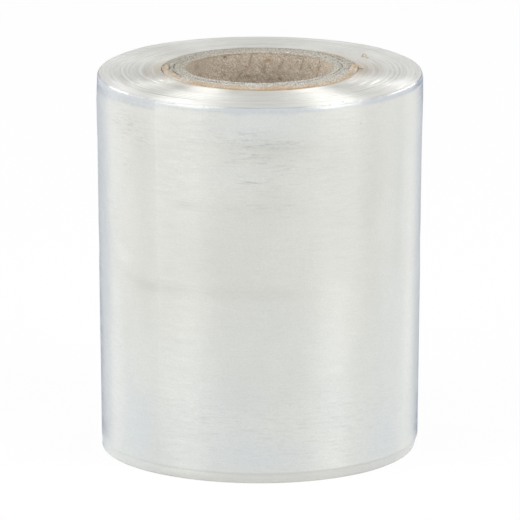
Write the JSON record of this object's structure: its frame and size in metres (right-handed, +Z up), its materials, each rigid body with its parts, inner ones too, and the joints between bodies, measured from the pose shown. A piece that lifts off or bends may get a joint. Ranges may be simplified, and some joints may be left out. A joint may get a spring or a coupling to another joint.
{
  "type": "stretch wrap roll",
  "caption": "Small hand roll of clear stretch film, wound on a thick grey cardboard core with a brown paper outer ply, standing on end",
  "frame": {"origin": "On the core's axis, in the plane of the lower end on which the roll stands", "axes": "+Z runs up the core's axis through the bore, -Y faces the viewer of the picture, and the loose end of the film lies front left, at 231 degrees from +X towards +Y"},
  "size_m": [0.0855, 0.0854, 0.1016],
  "materials": {
    "chipboard": "matt grey-brown recycled board with a rough cut end",
    "kraft_paper": "matt brown kraft paper, slightly torn at the edge",
    "stretch_film": "glossy clear polyethylene film, silvery and cloudy where its turns lie over each other"
  },
  "bodies": {
    "root": {"cardboard_core": "chipboard", "kraft_ply": "kraft_paper", "film_roll": "stretch_film"}
  },
  "joints": []
}
